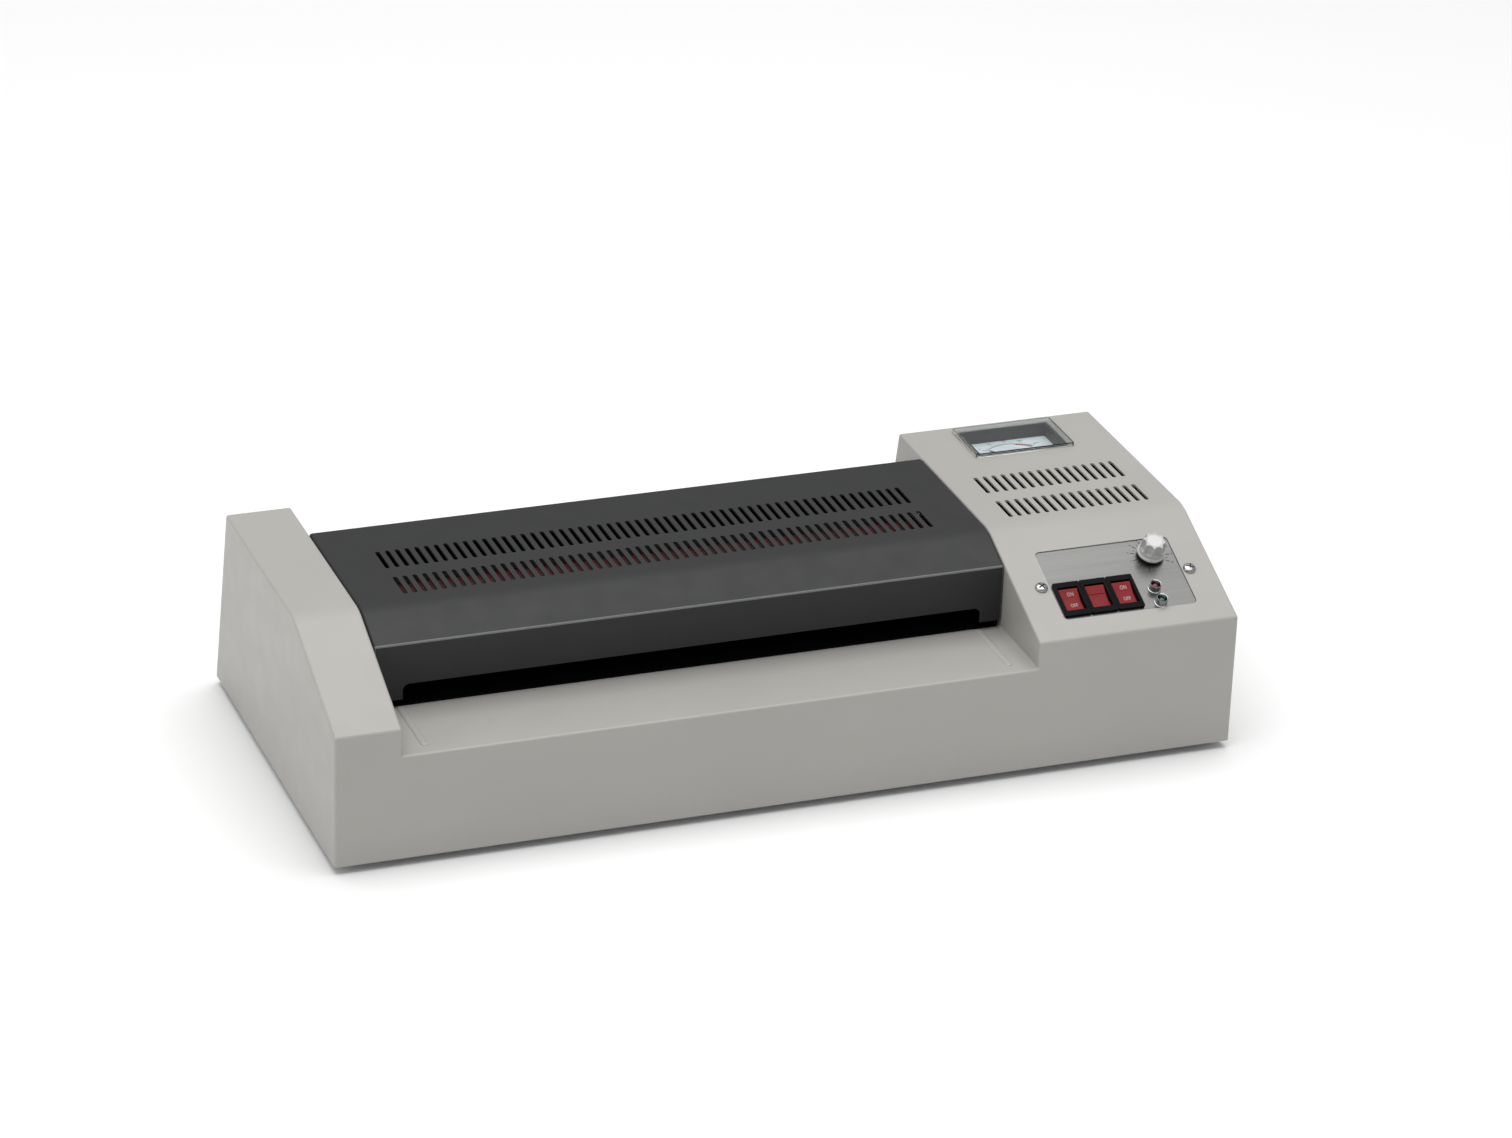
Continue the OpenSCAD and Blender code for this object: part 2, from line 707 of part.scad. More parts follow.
// Angle of a tooth of gear B that meshes with a tooth of gear A at phase_a, B lying from A at angle pole
function mesh_phase(pole, phase_a, teeth_a, teeth_b) = pole + 180 - (phase_a - pole) * teeth_a / teeth_b
    + 180 / teeth_b;
idler_pole = atan2(idler_z - lower_z, idler_arm);
lower_front_phase = 0;
upper_front_phase = mesh_phase(90, lower_front_phase, roller_teeth, roller_teeth);
pinion_phase = mesh_phase(pinion_side, lower_front_phase, roller_teeth, pinion_teeth);
idler_phase = mesh_phase(idler_pole, lower_front_phase, roller_teeth, idler_teeth);
lower_rear_phase = mesh_phase(-idler_pole, idler_phase, idler_teeth, roller_teeth);
upper_rear_phase = mesh_phase(90, lower_rear_phase, roller_teeth, roller_teeth);

module gear(y, z, teeth, phase, bore_r) {
    translate([0, y, z]) along_x(gear_x, gear_x + gear_w) difference() {
        gear_outline(teeth, phase);
        circle(bore_r);
    }
}

module roller_gear(y, z, phase) {
    color([0.85, 0.84, 0.78]) placed() gear(y, z, roller_teeth, phase, journal_r);
}

module upper_front_shaft() {
    roller_shaft(front_pair_y, upper_z);
}

module upper_front_sleeve() {
    sleeve(front_pair_y, upper_z, [0.65, 0.12, 0.10]);
}

module upper_front_gear() {
    roller_gear(front_pair_y, upper_z, upper_front_phase);
}

module lower_front_shaft() {
    roller_shaft(front_pair_y, lower_z);
}

module lower_front_sleeve() {
    sleeve(front_pair_y, lower_z, [0.65, 0.12, 0.10]);
}

module lower_front_gear() {
    roller_gear(front_pair_y, lower_z, lower_front_phase);
}

module upper_rear_shaft() {
    roller_shaft(rear_pair_y, upper_z);
}

module upper_rear_sleeve() {
    sleeve(rear_pair_y, upper_z, [0.06, 0.06, 0.06]);
}

module upper_rear_gear() {
    roller_gear(rear_pair_y, upper_z, upper_rear_phase);
}

module lower_rear_shaft() {
    roller_shaft(rear_pair_y, lower_z);
}

module lower_rear_sleeve() {
    sleeve(rear_pair_y, lower_z, [0.06, 0.06, 0.06]);
}

module lower_rear_gear() {
    roller_gear(rear_pair_y, lower_z, lower_rear_phase);
}

module idler_stud() {
    color([0.7, 0.7, 0.72]) placed() {
        rod_x(frame_x[1], gear_x + gear_w + 1, idler_y, idler_z, 3);
        rod_x(gear_x + gear_w + air, gear_x + gear_w + 2, idler_y, idler_z, 5);
        rod_x(frame_x[1] + frame_t, gear_x - air, idler_y, idler_z, 5);
    }
}

module idler_gear() {
    color([0.85, 0.84, 0.78]) placed() gear(idler_y, idler_z, idler_teeth, idler_phase, 3 + run);
}

// Drive
module motor() {
    color([0.30, 0.30, 0.32]) placed() difference() {
        union() {
            rod_x(motor_x, motor_x + motor_len, pinion_y, pinion_z, motor_r);
            rod_x(motor_x - 4, motor_x + 1, pinion_y, pinion_z, 9);
            rod_x(motor_x + motor_len - 1, motor_x + motor_len + 4, pinion_y, pinion_z, 8);
        }
        rod_x(motor_x - 5, motor_x + 20, pinion_y, pinion_z, 4 + run);
    }
}

module motor_bracket() {
    plate_x = motor_x - frame_t;
    color([0.62, 0.63, 0.65]) placed() difference() {
        union() {
            translate([plate_x, pinion_y - 30, base_t]) cube([frame_t, 60, pinion_z + 28 - base_t]);
            translate([plate_x, pinion_y - 30, base_t]) cube([14, 60, frame_t]);
        }
        rod_x(plate_x - 1, plate_x + 4, pinion_y, pinion_z, 9.1);
    }
}

module motor_pinion() {
    color([0.72, 0.6, 0.3]) placed() {
        rod_x(gear_x - 1, motor_x + 15, pinion_y, pinion_z, 4);
        gear(pinion_y, pinion_z, pinion_teeth, pinion_phase, 3.9);
    }
}

module control_board() {
    board = [72, 56];
    color([0.08, 0.35, 0.18]) placed() translate([right_x + 36, 18, base_t]) {
        for (x = [5, board[0] - 5], y = [5, board[1] - 5]) translate([x, y, 0]) cylinder(h = 6.5, r = 2.5);
        translate([0, 0, 6.5]) cube([board[0], board[1], 1.6]);
        translate([8, 12, 8]) cube([28, 32, 24]);
        translate([46, 10, 8]) cube([16, 12, 14]);
        for (y = [30, 42]) translate([54, y, 8]) cylinder(h = 18, r = 5);
    }
}

module motor_capacitor() {
    color([0.75, 0.75, 0.72]) placed() rod_x(right_x + 34, right_x + 84, 172, base_t + 13, 13);
}

// Rear sockets
module power_inlet() {
    color([0.05, 0.05, 0.05]) placed() on_rear(inlet_x, socket_s) {
        difference() {
            union() {
                translate([-25, -12, 0]) linear_extrude(2) rounded_rect(50, 24, 5);
                box(27, 19.5, -24, 1);
            }
            box(24, 16.5, -17, 5);
            for (x = [-20, 20]) translate([x, 0, -1]) cylinder(h = 5, r = 1.6);
        }
        for (p = [[-7, -2], [0, 2], [7, -2]]) translate([p[0], p[1], 0]) box(2, 4, -30, -2);
    }
}

module inlet_screws() {
    color([0.6, 0.6, 0.62]) placed() for (x = [-20, 20]) on_rear(inlet_x + x, socket_s)
        translate([0, 0, 2]) cross_screw(2.8, 1.6, 1.5, 9);
}

module fuse_holder() {
    color([0.05, 0.05, 0.05]) placed() on_rear(fuse_x, socket_s) {
        translate([0, 0, -30]) cylinder(h = 31, r = 6);
        cylinder(h = 2, r = 8.5);
        cylinder(h = 5.5, r = 6.5);
    }
}

main_housing();
centre_cover();
base_plate();
rubber_feet();
base_screws();
cover_screws();
control_panel();
panel_screws();
switch_housings();
left_rocker();
middle_rocker();
right_rocker();
indicator_bezels();
red_lens();
green_lens();
potentiometer();
potentiometer_shaft();
temperature_knob();
meter_case();
meter_dial();
meter_lens();
meter_needle();
left_side_frame();
right_side_frame();
tie_rods();
tie_rod_screws();
entry_guide();
exit_guide();
upper_heater_shoe();
lower_heater_shoe();
heater_tubes();
heat_shield();
thermostat();
lower_bearings();
front_bearing_blocks();
rear_bearing_blocks();
front_springs();
rear_springs();
upper_front_shaft();
upper_front_sleeve();
upper_front_gear();
lower_front_shaft();
lower_front_sleeve();
lower_front_gear();
upper_rear_shaft();
upper_rear_sleeve();
upper_rear_gear();
lower_rear_shaft();
lower_rear_sleeve();
lower_rear_gear();
idler_stud();
idler_gear();
motor();
motor_bracket();
motor_pinion();
control_board();
motor_capacitor();
power_inlet();
inlet_screws();
fuse_holder();
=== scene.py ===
"""The looks of the pouch laminator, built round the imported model.

Lengths are written in millimetres. at(x, y, z) takes x from the left end, y from the front wall and z from
the housing's bottom edge, and gives the point in the model's frame in metres.
"""
import json
import math
import bmesh
import bpy
from mathutils import Matrix, Vector


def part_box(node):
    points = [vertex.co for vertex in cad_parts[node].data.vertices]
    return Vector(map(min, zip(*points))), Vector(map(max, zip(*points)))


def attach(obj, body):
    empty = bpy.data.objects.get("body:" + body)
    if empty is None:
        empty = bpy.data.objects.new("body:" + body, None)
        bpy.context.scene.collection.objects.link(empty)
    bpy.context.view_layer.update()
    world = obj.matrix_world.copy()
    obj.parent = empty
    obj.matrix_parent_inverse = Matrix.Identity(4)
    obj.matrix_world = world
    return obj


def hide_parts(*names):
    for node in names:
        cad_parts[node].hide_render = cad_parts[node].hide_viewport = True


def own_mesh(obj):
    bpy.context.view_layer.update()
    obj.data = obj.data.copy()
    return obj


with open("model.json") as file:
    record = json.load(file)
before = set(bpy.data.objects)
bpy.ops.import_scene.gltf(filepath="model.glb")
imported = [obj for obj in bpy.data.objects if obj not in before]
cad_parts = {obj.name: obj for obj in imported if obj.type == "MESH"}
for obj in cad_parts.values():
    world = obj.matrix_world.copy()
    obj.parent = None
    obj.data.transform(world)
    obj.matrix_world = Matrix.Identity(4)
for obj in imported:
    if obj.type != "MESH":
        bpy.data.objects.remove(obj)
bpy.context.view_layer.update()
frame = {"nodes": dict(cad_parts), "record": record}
MM = 0.001

# The model's driving sizes, read from the frame or repeated from the part
housing_lo, housing_hi = (Vector(p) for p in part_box("main_housing"))
BODY_W, BODY_D, BODY_H = (housing_hi - housing_lo) / MM
FRONT_H = 77.5
SLOPE_RUN = 80.5
ROOF_REAR = 216
DECK_H = 61.5
SHEET = 1.2
LEFT_BLOCK = 37.5
RIGHT_X = BODY_W - 120.5
COVER_FRONT = 54
COVER_REAR = 180
COVER_LEG_Z = 67
SLOT_TOP_Z = 76
BAY_Y = (74, 177.5)     # the housing's opening round the roller unit
BAY_Z = (59, 101.6)
RIB_Y = (11, 54)        # the tray ribs, between the centres of their round ends
SLOT_X = (LEFT_BLOCK + 16.5, RIGHT_X - 13.5)
VENT_ROWS = (91, 124.3)
VENT_LEN = 21.8
VENT_W = 2.6
VENT_PITCH = 5.6
SLOPE = math.atan2(BODY_H - FRONT_H, SLOPE_RUN)
LEAN = math.atan2(BODY_D - ROOF_REAR, BODY_H)
EDGE = 1.5
BEND_R = 30
CLEAR = 20      # how far a cutter runs past what it cuts

# Control panel: x from the left end, s up the slope from the front edge, out of the sheet
WINDOW_X = BODY_W - 100.5
WINDOW_W = 81
WINDOW_S = (14.1, 65.4)
SCREW_X = (WINDOW_X - 5, WINDOW_X + 85.4)
SCREW_S = 39.2
SCREW_HOLE_R = 2.1
SWITCH_X = [WINDOW_X + 9.4 + 16.1 * i for i in range(3)]
SWITCH_S = 28.3
ROCKER_HALF = 7.9
ROCKER_TILT = math.radians(7)
PIVOT_OUT = -3.3
PANEL_OUT = -0.55
PANEL_BACK = -2.4
LAMP_X = WINDOW_X + 59.7
LAMP_S = (28.3, 17.7)
KNOB = (WINDOW_X + 66.7, 53)
SCALE_START = 247.5
SCALE_STEP = 28

# Meter in the roof
METER_X = (WINDOW_X + 10.5, WINDOW_X + 72)
METER_Y = (171, 209)
METER_RIM = 2.5
LENS_WALL = 0.9
DIAL_Z = BODY_H - 8
DIAL_START = 135
PIVOT = (sum(METER_X) / 2, METER_Y[0] + 8)
PRINT = 0.02    # how far print lies on what it is printed on

# Sockets in the rear wall
INLET_X = RIGHT_X + 66
FUSE_X = RIGHT_X + 30


def at(x, y, z):
    return housing_lo + Vector((x, y, z)) * MM


# Camera

AZIMUTH, ELEVATION, ROLL = (math.radians(a) for a in (-21.26, 25.46, 2.2))
DISTANCE = 3.0576
AIM = Vector((0.0223, 0.0091, 0.0848))
LENS = 128.99


def add_camera():
    flat = math.cos(ELEVATION)
    back = Vector((math.sin(AZIMUTH) * flat, -math.cos(AZIMUTH) * flat, math.sin(ELEVATION)))
    right = Vector((math.cos(AZIMUTH), math.sin(AZIMUTH), 0))
    up = back.cross(right)
    level = Matrix((right, up, back)).transposed().to_4x4()
    camera = bpy.data.objects.new("camera", bpy.data.cameras.new("camera"))
    camera.data.lens = LENS
    camera.data.sensor_width = 36
    camera.matrix_world = Matrix.Translation(AIM + back * DISTANCE) @ level @ Matrix.Rotation(ROLL, 4, "Z")
    bpy.context.scene.collection.objects.link(camera)
    bpy.context.scene.camera = camera


# Lights and floor

SKY_LOW, SKY_HIGH = 0.19, 0.85


def add_area(name, place, size, power, colour=(1, 1, 1)):
    light = bpy.data.lights.new(name, "AREA")
    light.shape = "RECTANGLE"
    light.size, light.size_y = size
    light.energy = power
    light.color = colour
    lamp = bpy.data.objects.new(name, light)
    lamp.location = place
    lamp.rotation_euler = (Vector((0, 0, 0.05)) - Vector(place)).to_track_quat("-Z", "Y").to_euler()
    bpy.context.scene.collection.objects.link(lamp)


def add_sky():
    """A white studio dome, brighter overhead than at the horizon."""
    world = bpy.data.worlds.new("studio")
    world.use_nodes = True
    nodes, links = world.node_tree.nodes, world.node_tree.links
    coords = nodes.new("ShaderNodeTexCoord")
    split = nodes.new("ShaderNodeSeparateXYZ")
    spread = nodes.new("ShaderNodeMapRange")
    spread.inputs["To Min"].default_value = SKY_LOW
    spread.inputs["To Max"].default_value = SKY_HIGH
    links.new(coords.outputs["Generated"], split.inputs["Vector"])
    links.new(split.outputs["Z"], spread.inputs["Value"])
    links.new(spread.outputs["Result"], nodes["Background"].inputs["Strength"])
    nodes["Background"].inputs["Color"].default_value = (1, 1, 1, 1)
    bpy.context.scene.world = world


def add_studio():
    add_sky()
    bpy.context.scene.view_settings.view_transform = "Standard"
    add_area("top_softbox", (0.0, -0.1, 2.6), (3.0, 2.6), 54)
    add_area("left_softbox", (-2.6, -0.3, 1.0), (1.6, 1.6), 10)
    floor = plane("floor", 14)
    floor.data.materials.append(floor_paint())


# Meshes

def link(name, mesh):
    thing = bpy.data.objects.new(name, mesh)
    bpy.context.scene.collection.objects.link(thing)
    return thing


def from_bmesh(name, bm):
    mesh = bpy.data.meshes.new(name)
    bmesh.ops.recalc_face_normals(bm, faces=bm.faces)
    bm.to_mesh(mesh)
    bm.free()
    return link(name, mesh)


def plane(name, size):
    bm = bmesh.new()
    bmesh.ops.create_grid(bm, x_segments=1, y_segments=1, size=size / 2)
    return from_bmesh(name, bm)


def prism(name, outlines, low, high, place):
    """Extrudes outlines of (u, v) points from low to high; place(u, v, w) gives the point in the frame."""
    bm = bmesh.new()
    for outline in outlines:
        ends = [[bm.verts.new(place(u, v, w)) for u, v in outline] for w in (low, high)]
        for ring in ends:
            bm.faces.new(ring)
        for i in range(len(outline)):
            j = (i + 1) % len(outline)
            bm.faces.new((ends[0][i], ends[0][j], ends[1][j], ends[1][i]))
    return from_bmesh(name, bm)


def along_x(y, z, x):
    return at(x, y, z)


def upwards(x, y, z):
    return at(x, y, z)


def on_slope(x, s, out):
    """x along the panel, s up the slope from the front edge, out of the sheet."""
    back = s * math.cos(SLOPE) - out * math.sin(SLOPE)
    up = s * math.sin(SLOPE) + out * math.cos(SLOPE)
    return at(x, back, FRONT_H + up)


def on_rear(x, s, out):
    """s up the leaning rear wall, out of the sheet."""
    back = out * math.cos(LEAN) - s * math.sin(LEAN)
    up = s * math.cos(LEAN) + out * math.sin(LEAN)
    return at(x, BODY_D + back, up)


def block(name, x, y, z, place=upwards):
    return prism(name, [[(x[0], y[0]), (x[1], y[0]), (x[1], y[1]), (x[0], y[1])]], z[0], z[1], place)


def rounded(x, y, r, steps=6):
    """A rectangle's outline with round corners."""
    centres = [(x[1] - r, y[1] - r), (x[0] + r, y[1] - r), (x[0] + r, y[0] + r), (x[1] - r, y[0] + r)]
    turns = [(i * 90 + 90 * k / steps) for i in range(4) for k in range(steps + 1)]
    return [(centres[n // (steps + 1)][0] + r * math.cos(math.radians(a)),
             centres[n // (steps + 1)][1] + r * math.sin(math.radians(a))) for n, a in enumerate(turns)]


def polar(r, degrees, cx=0.0, cy=0.0):
    return (cx + r * math.cos(math.radians(degrees)), cy + r * math.sin(math.radians(degrees)))


def circle(cx, cy, r, steps=32):
    return [polar(r, 360 * i / steps, cx, cy) for i in range(steps)]


def bar(cx, cy, degrees, r0, r1, width):
    """A tick's outline, pointing away from the centre."""
    along, across = Vector(polar(1, degrees)), Vector(polar(width / 2, degrees + 90))
    middle = Vector((cx, cy))
    return [tuple(middle + along * r + across * side) for r, side in ((r0, -1), (r1, -1), (r1, 1), (r0, 1))]


def arc(cx, cy, r0, r1, start, end, steps=24):
    turns = [start + (end - start) * i / steps for i in range(steps + 1)]
    return [polar(r1, a, cx, cy) for a in turns] + [polar(r0, a, cx, cy) for a in reversed(turns)]


def lathe(name, profile, place, closed=False, steps=48):
    """Turns a profile of (radius, height) points round the axis of place; closed joins its ends to a ring."""
    bm = bmesh.new()
    rings = []
    for r, h in profile:
        count = steps if r > 0 else 1
        rings.append([bm.verts.new(place(*polar(r, 360 * i / steps), h)) for i in range(count)])
    pairs = list(zip(rings, rings[1:] + rings[:1]))
    for low, high in pairs if closed else pairs[:-1]:
        for i in range(steps):
            j = (i + 1) % steps
            corners = [low[i % len(low)], low[j % len(low)], high[j % len(high)], high[i % len(high)]]
            bm.faces.new(list(dict.fromkeys(corners)))
    return from_bmesh(name, bm)


def tube(name, paths, radius, steps=8):
    """Round wire along paths of points in the frame, in metres; radius in millimetres."""
    bm = bmesh.new()
    for path in paths:
        rings = []
        for i, point in enumerate(path):
            ahead = (path[min(i + 1, len(path) - 1)] - path[max(i - 1, 0)]).normalized()
            side = ahead.cross(Vector((0, 0, 1))).normalized()
            turns = [(side * u + side.cross(ahead) * v) * radius * MM for u, v in circle(0, 0, 1, steps)]
            rings.append([bm.verts.new(point + turn) for turn in turns])
        for low, high in zip(rings, rings[1:]):
            for i in range(steps):
                j = (i + 1) % steps
                bm.faces.new((low[i], low[j], high[j], high[i]))
        for end in (rings[0], rings[-1]):
            bm.faces.new(end)
    return from_bmesh(name, bm)


def lettering(name, text, size, place):
    """Flat printed letters, centred on place(0, 0, 0) and 0.03 mm thick."""
    font = bpy.data.curves.new(name, "FONT")
    font.body = text
    font.size = size
    font.align_x = "CENTER"
    font.align_y = "CENTER"
    font.extrude = 0.015
    font.resolution_u = 3
    sign = bpy.data.objects.new(name, font)
    bpy.context.scene.collection.objects.link(sign)
    bpy.context.view_layer.update()
    shape = bpy.data.meshes.new_from_object(sign.evaluated_get(bpy.context.evaluated_depsgraph_get()))
    bpy.data.objects.remove(sign)
    for vertex in shape.vertices:
        vertex.co = place(*vertex.co)
    return link(name, shape)


def joined(name, things):
    """One object out of several."""
    bm = bmesh.new()
    for thing in things:
        bm.from_mesh(thing.data)
        bpy.data.objects.remove(thing)
    mesh = bpy.data.meshes.new(name)
    bm.to_mesh(mesh)
    bm.free()
    return link(name, mesh)


def inset(points, t):
    """Moves every edge of a clockwise outline inwards by t."""
    moved = []
    for i, b in enumerate(points):
        b = Vector(b)
        d = (b - Vector(points[i - 1])).normalized()
        e = (Vector(points[(i + 1) % len(points)]) - b).normalized()
        p = b + t * Vector((d.y, -d.x))
        q = b + t * Vector((e.y, -e.x))
        turn = d.cross(e)
        moved.append(tuple(p + d * ((q - p).cross(e) / turn)))
    return moved


def apply_modifiers(thing):
    shape = bpy.data.meshes.new_from_object(thing.evaluated_get(bpy.context.evaluated_depsgraph_get()))
    thing.modifiers.clear()
    thing.data = shape
    return thing


def cut(thing, *tools):
    """Takes the tools away from thing, for good."""
    for tool in tools:
        step = thing.modifiers.new("cut", "BOOLEAN")
        step.operation = "DIFFERENCE"
        step.solver = "EXACT"
        step.object = tool
        if thing.data.materials:
            step.material_mode = "TRANSFER"
            if not tool.data.materials:
                tool.data.materials.append(thing.data.materials[0])
    apply_modifiers(thing)
    for tool in tools:
        bpy.data.objects.remove(tool)
    return thing


def bevel(thing, width, segments=3, angle=15):
    step = thing.modifiers.new("bevel", "BEVEL")
    step.width = width * MM
    step.segments = segments
    step.limit_method = "ANGLE"
    step.angle_limit = math.radians(angle)
    return thing


def finish_piece(thing, slot, body="chassis", smooth=40, replaces=()):
    for face in thing.data.polygons:
        face.use_smooth = True
    thing.data.set_sharp_from_angle(angle=math.radians(smooth))
    weighted = thing.modifiers.new("weighted", "WEIGHTED_NORMAL")
    weighted.keep_sharp = True
    if not thing.data.materials:
        thing.data.materials.append(FINISH[slot])
    if replaces:
        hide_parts(*replaces)
    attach(thing, body)
    return thing


# Materials

def new_material(name, colour, roughness, metallic=0.0):
    material = bpy.data.materials.new(name)
    material.use_nodes = True
    shader = material.node_tree.nodes["Principled BSDF"]
    shader.inputs["Base Color"].default_value = (*colour, 1)
    shader.inputs["Roughness"].default_value = roughness
    shader.inputs["Metallic"].default_value = metallic
    return material


def add_node(material, kind, **sockets):
    node = material.node_tree.nodes.new(kind)
    for name, value in sockets.items():
        node.inputs[name.replace("_", " ")].default_value = value
    return node


def noise(material, scale, detail=2.0, stretch=(1, 1, 1)):
    """Noise over the object's own coordinates; scale is in cells a metre."""
    links = material.node_tree.links
    coords = material.node_tree.nodes.new("ShaderNodeTexCoord")
    mapping = add_node(material, "ShaderNodeMapping", Scale=stretch)
    texture = add_node(material, "ShaderNodeTexNoise", Scale=scale, Detail=detail)
    links.new(coords.outputs["Object"], mapping.inputs["Vector"])
    links.new(mapping.outputs["Vector"], texture.inputs["Vector"])
    return texture.outputs["Fac"]


def vary(material, socket, factor, low, high):
    """Drives a shader input between two values or colours by a factor from 0 to 1."""
    links = material.node_tree.links
    ramp = material.node_tree.nodes.new("ShaderNodeValToRGB")
    ends = ramp.color_ramp.elements
    ends[0].position, ends[1].position = 0.3, 0.7
    for end, value in zip(ends, (low, high)):
        end.color = (*value, 1) if isinstance(value, tuple) else (value, value, value, 1)
    links.new(factor, ramp.inputs["Fac"])
    links.new(ramp.outputs["Color"], material.node_tree.nodes["Principled BSDF"].inputs[socket])


def bump(material, factor, height, strength=1.0):
    """Adds relief of that height in millimetres on top of any relief there is."""
    links = material.node_tree.links
    shader = material.node_tree.nodes["Principled BSDF"]
    relief = add_node(material, "ShaderNodeBump", Strength=strength, Distance=height * MM)
    under = shader.inputs["Normal"].links
    if under:
        links.new(under[0].from_socket, relief.inputs["Normal"])
    links.new(factor, relief.inputs["Height"])
    links.new(relief.outputs["Normal"], shader.inputs["Normal"])


def scaled(colour, k):
    return tuple(min(1.0, c * k) for c in colour)


def powder_coat(name, colour, roughness, grain, specular):
    """Baked paint: fine orange peel, slight clouds of shade and gloss."""
    material = new_material(name, colour, roughness)
    material.node_tree.nodes["Principled BSDF"].inputs["Specular IOR Level"].default_value = specular
    clouds = noise(material, 9, 3)
    vary(material, "Base Color", clouds, scaled(colour, 0.975), scaled(colour, 1.025))
    vary(material, "Roughness", noise(material, 60, 4), roughness - 0.05, roughness + 0.05)
    bump(material, noise(material, 900, 2), grain)
    bump(material, noise(material, 160, 2), grain * 1.6)
    return material


def floor_paint():
    colour = (0.92, 0.92, 0.92)
    material = new_material("floor_paint", colour, 0.6)
    vary(material, "Base Color", noise(material, 3, 2), scaled(colour, 0.995), colour)
    return material


def plastic(name, colour, roughness, specular=0.4, grain=0.003):
    """Moulded plastic: faint flow marks, fine spark-eroded texture."""
    material = new_material(name, colour, roughness)
    material.node_tree.nodes["Principled BSDF"].inputs["Specular IOR Level"].default_value = specular
    vary(material, "Base Color", noise(material, 70, 3), scaled(colour, 0.94), scaled(colour, 1.06))
    vary(material, "Roughness", noise(material, 220, 4), roughness - 0.05, roughness + 0.05)
    bump(material, noise(material, 3000, 2), grain)
    return material


def metal(name, colour, roughness, stretch=(1, 1, 1), scale=2500, grain=0.002, spread=0.08):
    """Bare metal; stretch below 1 draws the grain out along that axis."""
    material = new_material(name, colour, roughness, 1.0)
    lines = noise(material, scale, 4, stretch)
    vary(material, "Base Color", lines, scaled(colour, 1 - spread), scaled(colour, 1 + spread))
    vary(material, "Roughness", noise(material, 120, 4, stretch), roughness - 0.05, roughness + 0.05)
    bump(material, lines, grain)
    return material


def soft_rubber(name, colour, roughness=0.7):
    """Rubber with a dry bloom on it."""
    material = new_material(name, colour, roughness)
    vary(material, "Base Color", noise(material, 45, 5), scaled(colour, 0.85), scaled(colour, 1.2))
    vary(material, "Roughness", noise(material, 500, 3), roughness - 0.08, roughness + 0.08)
    bump(material, noise(material, 1800, 3), 0.008)
    return material


def lamp_plastic(name, colour):
    material = plastic(name, colour, 0.16, 0.5, 0.001)
    material.node_tree.nodes["Principled BSDF"].inputs["Coat Weight"].default_value = 0.5
    return material


def clear_plastic(name):
    """Clear acrylic with faint polishing haze."""
    material = new_material(name, (0.93, 0.96, 0.96), 0.03)
    shader = material.node_tree.nodes["Principled BSDF"]
    shader.inputs["Transmission Weight"].default_value = 1.0
    shader.inputs["IOR"].default_value = 1.3
    vary(material, "Roughness", noise(material, 90, 5), 0.01, 0.05)
    bump(material, noise(material, 60, 2), 0.004)
    return material


